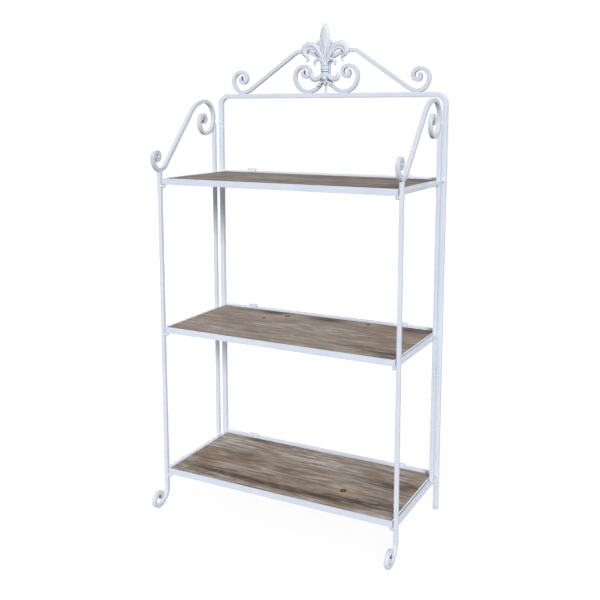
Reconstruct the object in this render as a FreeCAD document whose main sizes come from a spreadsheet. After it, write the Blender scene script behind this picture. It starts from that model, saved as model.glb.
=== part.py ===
import FreeCAD, Part
import Sketcher
import math
import os

# Three-tier folding shelf in square bar: a bent back hoop that carries a scrolled crest with
# a fleur-de-lis, two side frames hinged to the hoop's legs, and three shelves hinged along
# their back edges. X is the width, -Y the front, +Z up, and the floor is z = 0.

doc = FreeCAD.newDocument("ThreeTierShelf")
sheet = doc.addObject("Spreadsheet::Sheet", "Sizes")

# Every driving size in millimetres, with what it measures
DRIVING = (
    # Side frames
    ("frame_width", 650, "width over both side frames"),
    ("side_depth", 258, "front of the front upright to back of the rear one"),
    ("side_bar", 9.5, "square bar of the side frames and the cross rails"),
    ("side_rail_drop", 1.5, "side rail's top below the shelf's top"),
    # Back hoop
    ("leg_tube", 12, "square tube of the hoop"),
    ("leg_wall", 1.2, "wall of the hoop's tube"),
    ("leg_overhang", 2, "leg's outer face beyond the side frame"),
    ("hoop_rise", 211, "top of the hoop's rail above the top shelf"),
    ("hoop_bend", 24, "centreline radius of the hoop's corners"),
    ("hinge_gap", 28, "rear upright's back to the hoop's front"),
    ("back_rail_rise", 4, "back rail's top above the shelf's top"),
    # Shelves
    ("shelf_first", 95, "height of the lowest shelf's top"),
    ("shelf_pitch", 380, "height from shelf to shelf"),
    ("shelf_side_gap", 3, "shelf's end to the upright's inner face"),
    ("shelf_back_gap", 0.5, "shelf's back edge to the hoop's front"),
    ("angle_leg", 15, "leg of the angle iron"),
    ("angle_wall", 3, "wall of the angle iron"),
    # Shelf hinges
    ("shelf_hinge_reach", 223, "middle of a shelf hinge from the centre"),
    ("knuckle_radius", 3, "outer radius of a shelf hinge"),
    ("knuckle_length", 12.3, "length of each half of a shelf hinge"),
    ("knuckle_gap", 0.4, "seam between the halves, and the rail to the loose half"),
    ("knuckle_pin_radius", 1.5, "pin of a shelf hinge"),
    ("knuckle_pin_recess", 2.5, "pin's end inside the loose half"),
    ("tongue_edge", 2.2, "thickness of the tongue at the shelf's edge"),
    ("running_gap", 0.06, "radial clearance of a pin that turns"),
    # Side hinges
    ("eye_radius", 4.75, "outer radius of the eye on the upright"),
    ("eye_height", 10, "height of the eye"),
    ("eye_pin_radius", 2.4, "pin of a side hinge"),
    ("arm_thickness", 3, "strap from the leg over the eye"),
    ("arm_drop", 3, "strap's top below the shelf's top"),
    ("arm_gap", 0.35, "strap to the eye below it and to the upright"),
    # Pegs that the shelves rest on
    ("peg_length", 10, "length of a peg"),
    ("peg_radius", 4.2, "radius of a peg"),
    ("peg_gap", 0.25, "peg to the shelf above it"),
    # Scrolls of the side frames
    ("foot_bend", 38, "first bend of the foot"),
    ("foot_curl", 20, "radius that the foot's curl follows"),
    ("volute_rise", 20.3, "lower volute's lowest point above the top shelf, on the centreline"),
    ("volute_curl", 30, "bend out of the lower volute"),
    ("rise_bend", 82, "bend into the upper loop"),
    ("loop_rise", 170.2, "upper loop's highest point above the volute's lowest"),
    ("loop_curl", 42, "radius that the upper loop follows"),
    ("loop_inset", 4, "upper loop's back ahead of the upright's back"),
    ("rear_upright_drop", 57.5, "rear upright's top below the loop's highest point"),
    # Crest
    ("crest_bar", 8, "square bar of the crest"),
    ("crest_foot_reach", 250, "outer volute's lowest point from the centre"),
    ("crest_volute", 25, "radius that the outer volute follows"),
    ("crest_bend", 46, "bend out of the outer volute"),
    ("crest_rise", 103, "centreline of the crest's shoulder above the lowest point"),
    ("crest_shoulder_reach", 74, "shoulder's highest point from the centre"),
    ("crest_brow", 30.6, "bend into the shoulder"),
    ("crest_shoulder", 105, "radius of the shoulder"),
    ("crest_curl", 38, "radius that the inner curl follows"),
    ("crest_stem_radius", 3.2, "radius of the round stem in the middle"),
    ("crest_stem_height", 74, "height of that stem on the hoop"),
    ("fleur_depth", 8, "depth of the casting on the crest"),
    ("fleur_height", 112, "collar's middle to the tip of the middle petal"),
    ("fleur_collar_height", 62.5, "collar's middle above the hoop"),
)
for row, (alias, value, note) in enumerate(DRIVING, start=1):
    sheet.set("A%d" % row, alias.replace("_", " "))
    sheet.set("B%d" % row, str(value))
    sheet.set("C%d" % row, note)
    sheet.setAlias("B%d" % row, alias)
doc.recompute()


def size(alias):
    """The value of one driving size."""
    return float(getattr(sheet, alias))


LEVELS = ("bottom", "middle", "top")
HINGED_LEVELS = ("bottom", "top")
SIDES = (("left", -1), ("right", 1))

# A step of a scroll is a turn in degrees and a radius as a share of the curl that it follows
FOOT_SHARES = ((-45, 0.9), (-45, 0.9), (-45, 0.7), (-45, 1.2), (-90, 0.425), (-105, 0.285))
VOLUTE_SHARES = ((60, 0.25), (90, 0.3), (90, 0.34), (90, 0.49), (45, 1.07), (45, 0.8))
LOOP_SHARES = ((-90, 1.0), (-45, 1.12), (-45, 0.79), (-90, 0.69), (-45, 0.52), (-45, 0.38),
               (-90, 0.24), (-90, 0.18), (-45, 0.15))
CREST_VOLUTE_SHARES = ((90, 0.2), (90, 0.3), (90, 0.47), (45, 0.56), (45, 0.8), (45, 0.95),
                       (45, 0.86), (45, 1.35), (45, 1.03))
CREST_CURL_SHARES = ((-45, 1.05), (-45, 1.24), (-45, 0.94), (-45, 1.06), (-90, 0.68),
                     (-45, 0.5), (-45, 0.32), (-90, 0.32), (-90, 0.2), (-90, 0.13))
SHOULDER_TURN = 28

# Stations of the casting, from the collar's middle and as shares of the height to the tip:
# sideways, up, half the width, and half the depth as a share of the casting's half depth
SECTION_CORNERS = 6
MIDDLE_PETAL_SHARES = ((0, -0.36, 0.03, 0.8), (0, -0.3, 0.055, 1), (0, -0.22, 0.08, 1),
                       (0, -0.14, 0.062, 1), (0, 0.1, 0.05, 1), (0, 0.245, 0.034, 1),
                       (0, 0.44, 0.036, 1), (0, 0.52, 0.058, 1), (0, 0.585, 0.092, 1),
                       (0, 0.65, 0.12, 1), (0, 0.71, 0.129, 1), (0, 0.8, 0.108, 1),
                       (0, 0.915, 0.062, 1), (0, 0.965, 0.038, 0.8), (0, 1.0, 0.012, 0.4))
SIDE_PETAL_SHARES = ((0.027, 0.05, 0.03, 0.7), (0.07, 0.19, 0.042, 0.8),
                     (0.15, 0.345, 0.055, 0.9), (0.268, 0.487, 0.07, 1),
                     (0.393, 0.55, 0.082, 1), (0.5, 0.495, 0.09, 1), (0.53, 0.415, 0.08, 1),
                     (0.5, 0.345, 0.056, 0.9), (0.447, 0.28, 0.036, 0.8),
                     (0.41, 0.228, 0.02, 0.6), (0.43, 0.18, 0.006, 0.3))
INNER_CURL_SHARES = ((0.036, 0.28, 0.026, 0.6), (0.08, 0.46, 0.034, 0.8),
                     (0.125, 0.567, 0.04, 0.9), (0.178, 0.607, 0.038, 0.9),
                     (0.219, 0.563, 0.03, 0.8), (0.196, 0.518, 0.01, 0.4))
LEAF_CURL_SHARES = ((0.036, 0.085, 0.026, 0.7), (0.08, 0.165, 0.034, 0.9),
                    (0.152, 0.205, 0.037, 0.9), (0.232, 0.174, 0.035, 0.8),
                    (0.263, 0.12, 0.024, 0.6), (0.241, 0.071, 0.007, 0.3))
LOWER_LEAF_SHARES = ((0.036, -0.094, 0.03, 0.7), (0.09, -0.174, 0.044, 0.9),
                     (0.179, -0.232, 0.053, 1), (0.277, -0.241, 0.05, 1),
                     (0.326, -0.192, 0.038, 0.9), (0.321, -0.138, 0.022, 0.8),
                     (0.313, -0.094, 0.006, 0.3))
LOWER_CURL_SHARES = ((0.02, -0.27, 0.02, 0.7), (0.08, -0.31, 0.03, 0.8), (0.14, -0.35, 0.032, 0.8),
                     (0.13, -0.39, 0.02, 0.7), (0.1, -0.38, 0.008, 0.4))
COLLAR_SHARES = ((0, -0.063, 0.08, 0.9), (0, -0.05, 0.094, 1), (0, -0.03, 0.086, 0.95),
                 (0, -0.02, 0.1, 1), (0, 0.02, 0.1, 1), (0, 0.03, 0.086, 0.95),
                 (0, 0.05, 0.094, 1), (0, 0.063, 0.08, 0.9))
BOSS_HEIGHT_SHARE = -0.21
BOSS_RADIUS_SHARE = 0.058

half_side_bar = size("side_bar") / 2
half_leg = size("leg_tube") / 2
upright_x = size("frame_width") / 2 - half_side_bar
leg_outer = size("frame_width") / 2 + size("leg_overhang")
hoop_front = size("side_depth") + size("hinge_gap")
shelf_width = size("frame_width") - 2 * (size("side_bar") + size("shelf_side_gap"))
shelf_depth = hoop_front - size("shelf_back_gap")
board_thickness = size("angle_leg") - size("angle_wall")


def shelf_top(level):
    """Height of a shelf's upper face."""
    return size("shelf_first") + LEVELS.index(level) * size("shelf_pitch")


def hoop_height():
    """Height of the hoop's upper face."""
    return shelf_top("top") + size("hoop_rise")


def volute_height():
    """Height of the lower volute's lowest point, on the centreline."""
    return shelf_top("top") + size("volute_rise")


def loop_height():
    """Height of the upper loop's highest point, on the centreline."""
    return volute_height() + size("loop_rise")


def sine(degrees):
    return math.sin(math.radians(degrees))


def cosine(degrees):
    return math.cos(math.radians(degrees))


# Paths of tangent arcs. A run is its start, its heading, its turn and its radius, and a run
# that doesn't turn has its length in place of the radius.

def left_of(heading):
    """Unit vector to the left of a heading."""
    return FreeCAD.Vector(-sine(heading), cosine(heading), 0)


def along(heading):
    """Unit vector along a heading."""
    return FreeCAD.Vector(cosine(heading), sine(heading), 0)


def point_on(run, share, aside=0):
    """A point at a share of a run, some distance to its left."""
    start, heading, turn, reach = run
    if turn == 0:
        return start + along(heading) * (reach * share) + left_of(heading) * aside
    side = math.copysign(1, turn)
    centre = start + left_of(heading) * (side * reach)
    return centre + left_of(heading + turn * share) * (aside - side * reach)


def travel(start, heading, steps):
    """The runs of a path that follows steps of turn and radius."""
    runs = []
    for turn, reach in steps:
        run = (start, heading, turn, reach)
        runs.append(run)
        start = point_on(run, 1)
        heading = heading + turn
    return runs


def travel_to(target, heading, steps):
    """The runs of a path that ends at a target with a heading."""
    first = heading - sum(turn for turn, reach in steps)
    runs = travel(FreeCAD.Vector(), first, steps)
    start = target - point_on(runs[-1], 1)
    return travel(start, first, steps)


def scaled(steps, radius):
    """Steps whose shares are turned into radii."""
    return [(turn, share * radius) for turn, share in steps]


def cross_steps(low, low_radius, high, high_radius):
    """Steps from the lowest point of one bend, straight on, to the highest point of another."""
    low_centre = low + FreeCAD.Vector(0, low_radius, 0)
    high_centre = high - FreeCAD.Vector(0, high_radius, 0)
    gap = high_centre - low_centre
    tilt = math.degrees(math.asin((low_radius + high_radius) / gap.Length))
    turn = math.degrees(math.atan2(gap.y, gap.x)) + tilt
    return [(turn, low_radius), (0, gap.Length * cosine(tilt)), (-turn, high_radius)]


def edge_beside(run, aside, mirror):
    """The edge that runs beside a path, for a sketch; mirror is -1 to flip it sideways."""
    ends = [point_on(run, share, aside) for share in (0, 0.5, 1)]
    for end in ends:
        end.x = end.x * mirror
    if run[2] == 0:
        return Part.LineSegment(ends[0], ends[2])
    side = math.copysign(1, run[2])
    centre = run[0] + left_of(run[1]) * (side * run[3])
    centre.x = centre.x * mirror
    angles = [math.atan2(end.y - centre.y, end.x - centre.x) for end in (ends[0], ends[2])]
    if side * mirror < 0:
        angles.reverse()
    circle = Part.Circle(centre, FreeCAD.Vector(0, 0, 1), (ends[0] - centre).Length)
    return Part.ArcOfCircle(circle, angles[0], angles[1])


def ribbon(runs, half_width, mirror=1):
    """The closed outline of a bar whose centreline is a path."""
    edges = [edge_beside(run, half_width, mirror) for run in runs]
    edges += [edge_beside(run, -half_width, mirror) for run in runs]
    for run, share in ((runs[0], 0), (runs[-1], 1)):
        corners = [point_on(run, share, aside) for aside in (half_width, -half_width)]
        for corner in corners:
            corner.x = corner.x * mirror
        edges.append(Part.LineSegment(corners[0], corners[1]))
    return edges


# Makers of bodies

exported = []


def keep(part, label, x=0, y=0, z=0):
    """Name a sub-part and place it, with y counted from the front uprights."""
    part.Label = label
    part.Placement = FreeCAD.Placement(FreeCAD.Vector(x, y - centre_y, z), FreeCAD.Rotation())
    exported.append(part)
    return part


def new_body():
    return doc.addObject("PartDesign::Body", "Body")


def sketch_on(body, role, geometry):
    """A sketch of given geometry on one of a body's own origin planes."""
    sketch = body.newObject("Sketcher::SketchObject", "Sketch")
    plane = [feature for feature in body.Origin.OriginFeatures if feature.Role == role][0]
    sketch.AttachmentSupport = (plane, "")
    sketch.MapMode = "FlatFace"
    for edge in geometry:
        sketch.addGeometry(edge)
    return sketch


def rectangle(low_u, low_v, high_u, high_v):
    corners = [FreeCAD.Vector(low_u, low_v, 0), FreeCAD.Vector(high_u, low_v, 0),
               FreeCAD.Vector(high_u, high_v, 0), FreeCAD.Vector(low_u, high_v, 0)]
    return polygon(corners)


def polygon(corners):
    return [Part.LineSegment(corners[i - 1], corners[i]) for i in range(len(corners))]


def circle(radius):
    return [Part.Circle(FreeCAD.Vector(), FreeCAD.Vector(0, 0, 1), radius)]


def chain_and_arc(corners, radius, first, last):
    """Lines through corners, closed by an arc about the sketch's origin."""
    outline = [Part.LineSegment(one, two) for one, two in zip(corners, corners[1:])]
    round_edge = Part.Circle(FreeCAD.Vector(), FreeCAD.Vector(0, 0, 1), radius)
    outline.append(Part.ArcOfCircle(round_edge, math.radians(first), math.radians(last)))
    return outline


def arch(radius, foot):
    """A half circle on straight sides that end at the foot, which may be on either side."""
    corners = [FreeCAD.Vector(radius, 0, 0), FreeCAD.Vector(radius, foot, 0),
               FreeCAD.Vector(-radius, foot, 0), FreeCAD.Vector(-radius, 0, 0)]
    first = 0 if foot < 0 else 180
    return chain_and_arc(corners, radius, first, first + 180)


def pad(body, sketch, length, symmetric=True):
    """Extrude a sketch; the length is an expression of the sheet."""
    feature = body.newObject("PartDesign::Pad", "Pad")
    feature.Profile = sketch
    feature.setExpression("Length", length)
    feature.SideType = "Symmetric" if symmetric else "One side"
    body.Tip = feature
    return feature


def pocket(body, sketch, length=None):
    """Cut a sketch through, or to a depth below its plane, and make sure that it cuts."""
    doc.recompute()
    before = body.Shape.Volume
    feature = body.newObject("PartDesign::Pocket", "Pocket")
    feature.Profile = sketch
    if length:
        feature.setExpression("Length", length)
    else:
        feature.Type = "ThroughAll"
        feature.SideType = "Symmetric"
    body.Tip = feature
    doc.recompute()
    if body.Shape.Volume >= before:
        raise ValueError("a pocket cuts nothing in " + body.Label)
    return feature


def square_sketch(body, role, alias):
    """A centred square whose side is bound to a size."""
    half = size(alias) / 2
    sketch = sketch_on(body, role, rectangle(-half, -half, half, half))
    for line in range(4):
        following = (line + 1) % 4
        sketch.addConstraint(Sketcher.Constraint("Coincident", line, 2, following, 1))
    for line in (0, 2):
        sketch.addConstraint(Sketcher.Constraint("Vertical", line))
    for line in (1, 3):
        sketch.addConstraint(Sketcher.Constraint("Horizontal", line))
    sketch.addConstraint(Sketcher.Constraint("Symmetric", 0, 1, 1, 2, -1, 1))
    width = sketch.addConstraint(Sketcher.Constraint("Distance", 0, 2 * half))
    height = sketch.addConstraint(Sketcher.Constraint("Distance", 1, 2 * half))
    sketch.setExpression("Constraints[%d]" % width, "Sizes." + alias)
    sketch.setExpression("Constraints[%d]" % height, "Sizes." + alias)
    return sketch


def straight_bar(role, alias, length):
    """A square bar centred on its body's origin and square to one of its planes."""
    body = new_body()
    pad(body, square_sketch(body, role, alias), length)
    return body


def group(pieces):
    """One object that holds several equal solids."""
    compound = doc.addObject("Part::Compound", "Group")
    compound.Links = pieces
    return compound


def shifted(body, x=0, y=0, z=0):
    body.Placement = FreeCAD.Placement(FreeCAD.Vector(x, y, z), FreeCAD.Rotation())
    return body


# Paths of the scrolls, in the plane of the piece

def foot_path():
    """The front upright from its top down into the foot's curl."""
    top = FreeCAD.Vector(half_side_bar, volute_height(), 0)
    bend_top = half_side_bar + size("foot_bend")
    steps = [(0, top.y - bend_top), (-90, size("foot_bend"))]
    return travel(top, -90, steps + scaled(FOOT_SHARES, size("foot_curl")))


def side_scroll_path():
    """The lower volute, the rise and the upper loop of a side frame."""
    low = FreeCAD.Vector(half_side_bar, volute_height(), 0)
    loop = travel(FreeCAD.Vector(), 0, scaled(LOOP_SHARES, size("loop_curl")))
    loop_back = size("side_depth") - size("loop_inset") - half_side_bar
    high = FreeCAD.Vector(loop_back - point_on(loop[0], 1).x, loop_height(), 0)
    volute = travel_to(low, 0, scaled(VOLUTE_SHARES, size("volute_curl")))
    rise = cross_steps(low, size("volute_curl"), high, size("rise_bend"))
    return volute + travel(low, 0, rise + scaled(LOOP_SHARES, size("loop_curl")))


def crest_path():
    """The left bar of the crest, from the outer volute to the end of the inner curl."""
    half_bar = size("crest_bar") / 2
    low = FreeCAD.Vector(-size("crest_foot_reach"), half_bar, 0)
    high = FreeCAD.Vector(-size("crest_shoulder_reach"), half_bar + size("crest_rise"), 0)
    volute = travel_to(low, 0, scaled(CREST_VOLUTE_SHARES, size("crest_volute")))
    rise = cross_steps(low, size("crest_bend"), high, size("crest_brow"))
    # The shoulder bends down beside the stem
    shoulder = size("crest_shoulder")
    stem_reach = size("crest_stem_radius") + half_bar
    neck_reach = size("crest_shoulder_reach") - stem_reach - shoulder * sine(SHOULDER_TURN)
    neck = neck_reach / (1 - sine(SHOULDER_TURN))
    curl = scaled(CREST_CURL_SHARES, size("crest_curl"))
    curl_start = travel(FreeCAD.Vector(), -90, curl[:2])
    shoulder_drop = shoulder * (1 - cosine(SHOULDER_TURN)) + neck * cosine(SHOULDER_TURN)
    drop = size("crest_rise") - shoulder_drop + point_on(curl_start[-1], 1).y
    neck_steps = [(-SHOULDER_TURN, shoulder), (SHOULDER_TURN - 90, neck), (0, drop)]
    return volute + travel(low, 0, rise + neck_steps + curl)


foot_runs = foot_path()
foot_front = min(point_on(run, 1).x for run in foot_runs) - half_side_bar
hoop_back = hoop_front + size("leg_tube")
centre_y = (foot_front + hoop_back) / 2
leg_y = hoop_front + half_leg
back_rail_y = hoop_front + half_side_bar


# Back hoop and its rails

def hoop_outline(inset):
    """The hoop's outline on the back plane, or the outline of its bore."""
    reach = leg_outer - half_leg
    bend = size("hoop_bend")
    start = FreeCAD.Vector(-reach, 0, 0)
    rise = hoop_height() - half_leg - bend
    steps = [(0, rise), (-90, bend), (0, 2 * (reach - bend)), (-90, bend), (0, rise)]
    return ribbon(travel(start, 90, steps), half_leg - inset)


def make_hoop():
    """One tube bent twice, with both ends open on the floor."""
    hoop = new_body()
    pad(hoop, sketch_on(hoop, "XZ_Plane", hoop_outline(0)), "Sizes.leg_tube")
    bore = hoop.newObject("PartDesign::Pocket", "Bore")
    bore.Profile = sketch_on(hoop, "XZ_Plane", hoop_outline(size("leg_wall")))
    bore.setExpression("Length", "Sizes.leg_tube - 2 * Sizes.leg_wall")
    bore.SideType = "Symmetric"
    hoop.Tip = bore
    keep(hoop, "back_hoop", y=leg_y)


def make_back_rails():
    length = "Sizes.frame_width + 2 * Sizes.leg_overhang - 2 * Sizes.leg_tube"
    for level in LEVELS:
        rail = straight_bar("YZ_Plane", "side_bar", length)
        height = shelf_top(level) + size("back_rail_rise") - half_side_bar
        keep(rail, "back_rail_" + level, y=back_rail_y, z=height)


# Crest

def make_crest():
    for side, mirror in SIDES:
        bar = new_body()
        outline = ribbon(crest_path(), size("crest_bar") / 2, -mirror)
        pad(bar, sketch_on(bar, "XZ_Plane", outline), "Sizes.crest_bar")
        keep(bar, "crest_scroll_" + side, y=leg_y, z=hoop_height())
    stem = new_body()
    round_sketch = sketch_on(stem, "XY_Plane", circle(size("crest_stem_radius")))
    pad(stem, round_sketch, "Sizes.crest_stem_height", False)
    keep(stem, "crest_stem", y=leg_y, z=hoop_height())


def petal(shares, mirror=1):
    """A swelling and tapering horn: six-sided sections joined by flat facets."""
    height = size("fleur_height")
    depth = size("fleur_depth") / 2
    stations = [FreeCAD.Vector(mirror * aside, 0, up) * height for aside, up, width, deep in shares]
    sections = []
    for index, station in enumerate(stations):
        before = stations[max(index - 1, 0)]
        after = stations[min(index + 1, len(stations) - 1)]
        heading = (after - before).normalize()
        across = FreeCAD.Vector(heading.z, 0, -heading.x)
        width = shares[index][2] * height
        deep = shares[index][3] * depth
        corners = []
        for corner in range(SECTION_CORNERS):
            angle = 360 * (corner + 0.5) / SECTION_CORNERS
            corners.append(station + across * (width * cosine(angle))
                           + FreeCAD.Vector(0, deep * sine(angle), 0))
        sections.append(corners)
    faces = [flat_face(sections[0]), flat_face(sections[-1])]
    for lower, upper in zip(sections, sections[1:]):
        for corner in range(SECTION_CORNERS):
            following = (corner + 1) % SECTION_CORNERS
            faces.append(flat_face([lower[corner], lower[following], upper[following]]))
            faces.append(flat_face([lower[corner], upper[following], upper[corner]]))
    return Part.makeSolid(Part.makeShell(faces))


def flat_face(corners):
    return Part.Face(Part.makePolygon(corners + corners[:1]))


def make_fleur():
    """The casting: petals and leaves on both sides of a banded collar, and a round boss."""
    horns = [petal(MIDDLE_PETAL_SHARES), petal(COLLAR_SHARES)]
    for side, mirror in SIDES:
        for shares in (SIDE_PETAL_SHARES, INNER_CURL_SHARES, LEAF_CURL_SHARES,
                       LOWER_LEAF_SHARES, LOWER_CURL_SHARES):
            horns.append(petal(shares, mirror))
    depth = size("fleur_depth")
    boss_radius = BOSS_RADIUS_SHARE * size("fleur_height")
    boss_foot = FreeCAD.Vector(0, depth / 2, BOSS_HEIGHT_SHARE * size("fleur_height"))
    horns.append(Part.makeCylinder(boss_radius, depth, boss_foot, FreeCAD.Vector(0, -1, 0)))
    casting = doc.addObject("Part::Feature", "Fleur")
    casting.Shape = horns[0].multiFuse(horns[1:])
    front = leg_y - size("crest_bar") / 2 - depth / 2
    keep(casting, "fleur_casting", y=front, z=hoop_height() + size("fleur_collar_height"))


# Side frames

def scroll_outline():
    return ribbon(side_scroll_path(), half_side_bar)


def make_uprights(side, x):
    """The front upright with its curled foot, and the rear one; both end against the scroll."""
    front = new_body()
    pad(front, sketch_on(front, "YZ_Plane", ribbon(foot_runs, half_side_bar)), "Sizes.side_bar")
    pocket(front, sketch_on(front, "YZ_Plane", scroll_outline()))
    keep(front, side + "_front_upright", x=x)
    rear = new_body()
    low = shelf_top("bottom") - size("side_rail_drop") - size("side_bar")
    back = size("side_depth")
    high = loop_height() - size("rear_upright_drop")
    outline = rectangle(back - size("side_bar"), low, back, high)
    pad(rear, sketch_on(rear, "YZ_Plane", outline), "Sizes.side_bar")
    pocket(rear, sketch_on(rear, "YZ_Plane", scroll_outline()))
    keep(rear, side + "_rear_upright", x=x)


def make_side_rails(side, x):
    for level in LEVELS:
        rail = straight_bar("XZ_Plane", "side_bar", "Sizes.side_depth - 2 * Sizes.side_bar")
        height = shelf_top(level) - size("side_rail_drop") - half_side_bar
        keep(rail, side + "_rail_" + level, x=x, y=size("side_depth") / 2, z=height)


def make_pegs(side, mirror, x):
    """Round pegs on the front upright's inner face, just under each shelf's front corner."""
    pegs = []
    for level in LEVELS:
        peg = new_body()
        pad(peg, sketch_on(peg, "YZ_Plane", circle(size("peg_radius"))), "Sizes.peg_length")
        drop = size("angle_leg") + size("peg_gap") + size("peg_radius")
        pegs.append(shifted(peg, z=shelf_top(level) - drop))
    middle = x - mirror * (half_side_bar + size("peg_length") / 2)
    keep(group(pegs), side + "_pegs", x=middle, y=half_side_bar)


# Side hinges

def eye_top(level):
    return shelf_top(level) - size("arm_drop") - size("arm_thickness") - size("arm_gap")


def make_side_hinges(side, x):
    """An eye on the rear upright, and a strap from the leg whose pin hangs down into the eye."""
    pivot_y = size("side_depth") + size("eye_radius")
    eyes = []
    for level in HINGED_LEVELS:
        eye = new_body()
        outline = arch(size("eye_radius"), -size("eye_radius"))
        pad(eye, sketch_on(eye, "XY_Plane", outline), "Sizes.eye_height")
        bore = circle(size("eye_pin_radius") + size("running_gap"))
        pocket(eye, sketch_on(eye, "XY_Plane", bore))
        eyes.append(shifted(eye, z=eye_top(level) - size("eye_height") / 2))
    keep(group(eyes), side + "_hinge_eyes", x=x, y=pivot_y)

    for level in HINGED_LEVELS:
        arm = new_body()
        nose = size("eye_radius") - size("arm_gap")
        strap = arch(nose, hoop_front - pivot_y)
        pad(arm, sketch_on(arm, "XY_Plane", strap), "Sizes.arm_thickness")
        under = shelf_top(level) - size("arm_drop") - size("arm_thickness")
        middle = under + size("arm_thickness") / 2
        keep(arm, side + "_hinge_arm_" + level, x=x, y=pivot_y, z=middle)

        pin = new_body()
        pin_sketch = sketch_on(pin, "XY_Plane", circle(size("eye_pin_radius")))
        pad(pin, pin_sketch, "Sizes.arm_gap + Sizes.eye_height")
        middle = under - (size("arm_gap") + size("eye_height")) / 2
        keep(pin, side + "_hinge_pin_" + level, x=x, y=pivot_y, z=middle)


# Shelves

def make_shelf(level):
    """A mitred angle-iron frame and the board that lies in it."""
    wall = size("angle_wall")
    leg = size("angle_leg")
    half_width = shelf_width / 2
    frame = new_body()
    outer = rectangle(-half_width, 0, half_width, shelf_depth)
    pad(frame, sketch_on(frame, "XY_Plane", outer), "Sizes.angle_leg", False)
    opening = rectangle(leg - half_width, leg, half_width - leg, shelf_depth - leg)
    pocket(frame, sketch_on(frame, "XY_Plane", opening))
    seat_outline = rectangle(wall - half_width, wall, half_width - wall, shelf_depth - wall)
    seat_sketch = sketch_on(frame, "XY_Plane", seat_outline)
    lift = FreeCAD.Vector(0, 0, leg)
    seat_sketch.AttachmentOffset = FreeCAD.Placement(lift, FreeCAD.Rotation())
    pocket(frame, seat_sketch, "Sizes.angle_leg - Sizes.angle_wall")
    keep(frame, level + "_shelf_frame", z=shelf_top(level) - leg)

    board = new_body()
    pad(board, sketch_on(board, "XY_Plane", seat_outline),
        "Sizes.angle_leg - Sizes.angle_wall", False)
    keep(board, level + "_board", z=shelf_top(level) - board_thickness)


def make_shelf_hinges(level):
    """Two hinges: a fixed half with a stub pin on the back rail, a loose half on a tongue."""
    radius = size("knuckle_radius")
    rail_top = size("back_rail_rise")
    axis_z = rail_top + size("knuckle_gap") + radius
    offset = (size("knuckle_length") + size("knuckle_gap")) / 2
    # The tongue stands on the frame's back edge and slopes up to the knuckle
    back = shelf_depth - back_rail_y
    front = back - size("angle_wall")
    stations = [(0, radius), (front, size("tongue_edge") - axis_z), (front, -axis_z),
                (back, -axis_z), (back, -radius), (0, -radius)]
    corners = [FreeCAD.Vector(u, v, 0) for u, v in stations]
    fixed_halves = []
    loose_halves = []
    pins = []
    for side, mirror in SIDES:
        middle = mirror * size("shelf_hinge_reach")
        fixed = new_body()
        block = arch(radius, rail_top - axis_z)
        pad(fixed, sketch_on(fixed, "YZ_Plane", block), "Sizes.knuckle_length")
        fixed_halves.append(shifted(fixed, x=middle - offset))

        loose = new_body()
        rolled = chain_and_arc(corners, radius, -90, 90)
        pad(loose, sketch_on(loose, "YZ_Plane", rolled), "Sizes.knuckle_length")
        bore = circle(size("knuckle_pin_radius") + size("running_gap"))
        pocket(loose, sketch_on(loose, "YZ_Plane", bore))
        loose_halves.append(shifted(loose, x=middle + offset))

        pin = new_body()
        pin_length = "Sizes.knuckle_gap + Sizes.knuckle_length - Sizes.knuckle_pin_recess"
        pad(pin, sketch_on(pin, "YZ_Plane", circle(size("knuckle_pin_radius"))), pin_length)
        pin_middle = middle + (size("knuckle_length") - size("knuckle_pin_recess")) / 2
        pins.append(shifted(pin, x=pin_middle))
    height = shelf_top(level) + axis_z
    keep(group(fixed_halves), level + "_fixed_knuckles", y=back_rail_y, z=height)
    keep(group(loose_halves), level + "_loose_knuckles", y=back_rail_y, z=height)
    keep(group(pins), level + "_hinge_pins", y=back_rail_y, z=height)


make_hoop()
make_back_rails()
make_crest()
make_fleur()
for side, mirror in SIDES:
    side_x = mirror * upright_x
    scroll = new_body()
    pad(scroll, sketch_on(scroll, "YZ_Plane", scroll_outline()), "Sizes.side_bar")
    keep(scroll, side + "_scroll", x=side_x)
    make_uprights(side, side_x)
    make_side_rails(side, side_x)
    make_pegs(side, mirror, side_x)
    make_side_hinges(side, side_x)
for level in LEVELS:
    make_shelf(level)
    make_shelf_hinges(level)

doc.recompute()
for item in doc.Objects:
    if "Invalid" in item.State or "Error" in item.State:
        raise ValueError(item.Label + " failed")
for part in exported:
    if part.Shape.isNull() or not part.Shape.isValid():
        raise ValueError(part.Label + " has no valid shape")

os.makedirs("parts", exist_ok=True)
for part in exported:
    part.Shape.exportStep("parts/" + part.Label + ".step")
print("sub-parts:", len(exported))
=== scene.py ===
import bpy
import bmesh
import math
import random
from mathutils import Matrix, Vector, noise

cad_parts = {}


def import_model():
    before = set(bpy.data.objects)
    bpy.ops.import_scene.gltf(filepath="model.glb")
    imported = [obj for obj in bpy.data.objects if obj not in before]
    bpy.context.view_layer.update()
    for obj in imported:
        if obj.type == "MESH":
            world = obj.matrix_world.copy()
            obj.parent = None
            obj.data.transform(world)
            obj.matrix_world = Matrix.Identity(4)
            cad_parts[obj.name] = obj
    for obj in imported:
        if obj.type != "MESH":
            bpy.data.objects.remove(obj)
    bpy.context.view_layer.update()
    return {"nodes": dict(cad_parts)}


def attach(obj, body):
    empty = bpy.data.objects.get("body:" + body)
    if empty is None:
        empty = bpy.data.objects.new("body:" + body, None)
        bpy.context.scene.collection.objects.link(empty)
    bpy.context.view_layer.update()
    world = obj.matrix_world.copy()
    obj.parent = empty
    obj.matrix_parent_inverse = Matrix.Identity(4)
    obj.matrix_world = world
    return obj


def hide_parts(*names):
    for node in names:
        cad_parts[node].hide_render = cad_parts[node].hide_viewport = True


# Looks of the three-tier folding shelf. Paths are in millimetres with y counted from the front
# uprights, as the construction has them, and world() turns them into the frame's metres.

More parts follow.
